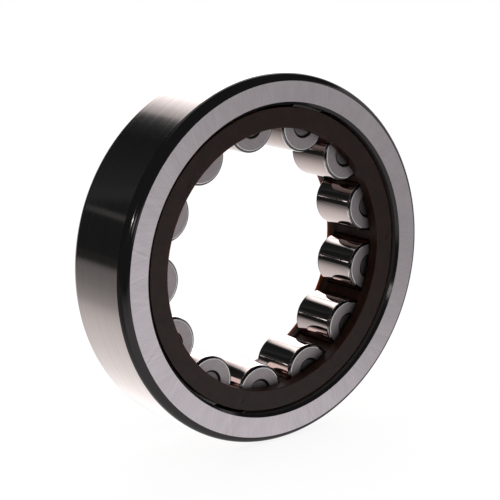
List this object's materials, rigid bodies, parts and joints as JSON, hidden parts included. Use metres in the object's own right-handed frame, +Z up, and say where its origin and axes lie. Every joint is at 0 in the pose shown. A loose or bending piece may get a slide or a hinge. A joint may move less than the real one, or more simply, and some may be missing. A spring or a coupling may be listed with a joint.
{
  "type": "cylindrical roller bearing",
  "caption": "Cylindrical roller bearing without an inner ring: a flanged steel outer ring, a one-piece polyamide window cage and free rollers that run directly on a shaft.",
  "frame": {"origin": "centre of the bearing: on its axis, half way between the two side faces", "axes": "+Y along the bearing axis, from the front side face to the back one; +Z up as the bearing stands on its rim in the picture; +X to the right seen from the front"},
  "size_m": [0.11, 0.027, 0.11],
  "materials": {
    "ring_steel": "hardened bearing steel: ground satin side faces, polished outside diameter",
    "cage_polyamide": "injection-moulded dark brown polyamide, slightly translucent at thin edges",
    "roller_steel": "hardened bearing steel, mirror-polished on the running surface, satin on the end faces"
  },
  "bodies": {
    "outer_ring": {"outer_ring": "ring_steel"},
    "cage": {"cage": "cage_polyamide"},
    "roller_01": {"roller_01": "roller_steel"},
    "roller_02": {"roller_02": "roller_steel"},
    "roller_03": {"roller_03": "roller_steel"},
    "roller_04": {"roller_04": "roller_steel"},
    "roller_05": {"roller_05": "roller_steel"},
    "roller_06": {"roller_06": "roller_steel"},
    "roller_07": {"roller_07": "roller_steel"},
    "roller_08": {"roller_08": "roller_steel"},
    "roller_09": {"roller_09": "roller_steel"},
    "roller_10": {"roller_10": "roller_steel"},
    "roller_11": {"roller_11": "roller_steel"},
    "roller_12": {"roller_12": "roller_steel"},
    "roller_13": {"roller_13": "roller_steel"}
  },
  "joints": [
    {"name": "cage_spin", "type": "hinge", "parent": "outer_ring", "child": "cage", "pos_m": [0, 0, 0], "axis": [0, 1, 0], "continuous": true},
    {"name": "roller_01_spin", "type": "hinge", "parent": "cage", "child": "roller_01", "pos_m": [0.03942, 0, -0.00928], "axis": [0, 1, 0], "continuous": true},
    {"name": "roller_02_spin", "type": "hinge", "parent": "cage", "child": "roller_02", "pos_m": [0.03922, 0, 0.0101], "axis": [0, 1, 0], "continuous": true},
    {"name": "roller_03_spin", "type": "hinge", "parent": "cage", "child": "roller_03", "pos_m": [0.03003, 0, 0.02717], "axis": [0, 1, 0], "continuous": true},
    {"name": "roller_04_spin", "type": "hinge", "parent": "cage", "child": "roller_04", "pos_m": [0.01397, 0, 0.03802], "axis": [0, 1, 0], "continuous": true},
    {"name": "roller_05_spin", "type": "hinge", "parent": "cage", "child": "roller_05", "pos_m": [-0.0053, 0, 0.04015], "axis": [0, 1, 0], "continuous": true},
    {"name": "roller_06_spin", "type": "hinge", "parent": "cage", "child": "roller_06", "pos_m": [-0.02335, 0, 0.03309], "axis": [0, 1, 0], "continuous": true},
    {"name": "roller_07_spin", "type": "hinge", "parent": "cage", "child": "roller_07", "pos_m": [-0.03605, 0, 0.01845], "axis": [0, 1, 0], "continuous": true},
    {"name": "roller_08_spin", "type": "hinge", "parent": "cage", "child": "roller_08", "pos_m": [-0.0405, 0, -0.00042], "axis": [0, 1, 0], "continuous": true},
    {"name": "roller_09_spin", "type": "hinge", "parent": "cage", "child": "roller_09", "pos_m": [-0.03566, 0, -0.01919], "axis": [0, 1, 0], "continuous": true},
    {"name": "roller_10_spin", "type": "hinge", "parent": "cage", "child": "roller_10", "pos_m": [-0.02266, 0, -0.03357], "axis": [0, 1, 0], "continuous": true},
    {"name": "roller_11_spin", "type": "hinge", "parent": "cage", "child": "roller_11", "pos_m": [-0.00446, 0, -0.04025], "axis": [0, 1, 0], "continuous": true},
    {"name": "roller_12_spin", "type": "hinge", "parent": "cage", "child": "roller_12", "pos_m": [0.01475, 0, -0.03772], "axis": [0, 1, 0], "continuous": true},
    {"name": "roller_13_spin", "type": "hinge", "parent": "cage", "child": "roller_13", "pos_m": [0.03059, 0, -0.02654], "axis": [0, 1, 0], "continuous": true}
  ],
  "couplings": [
    {"joint": "roller_01_spin", "follows": "cage_spin", "ratio": -6.1},
    {"joint": "roller_02_spin", "follows": "cage_spin", "ratio": -6.1},
    {"joint": "roller_03_spin", "follows": "cage_spin", "ratio": -6.1},
    {"joint": "roller_04_spin", "follows": "cage_spin", "ratio": -6.1},
    {"joint": "roller_05_spin", "follows": "cage_spin", "ratio": -6.1},
    {"joint": "roller_06_spin", "follows": "cage_spin", "ratio": -6.1},
    {"joint": "roller_07_spin", "follows": "cage_spin", "ratio": -6.1},
    {"joint": "roller_08_spin", "follows": "cage_spin", "ratio": -6.1},
    {"joint": "roller_09_spin", "follows": "cage_spin", "ratio": -6.1},
    {"joint": "roller_10_spin", "follows": "cage_spin", "ratio": -6.1},
    {"joint": "roller_11_spin", "follows": "cage_spin", "ratio": -6.1},
    {"joint": "roller_12_spin", "follows": "cage_spin", "ratio": -6.1},
    {"joint": "roller_13_spin", "follows": "cage_spin", "ratio": -6.1}
  ]
}
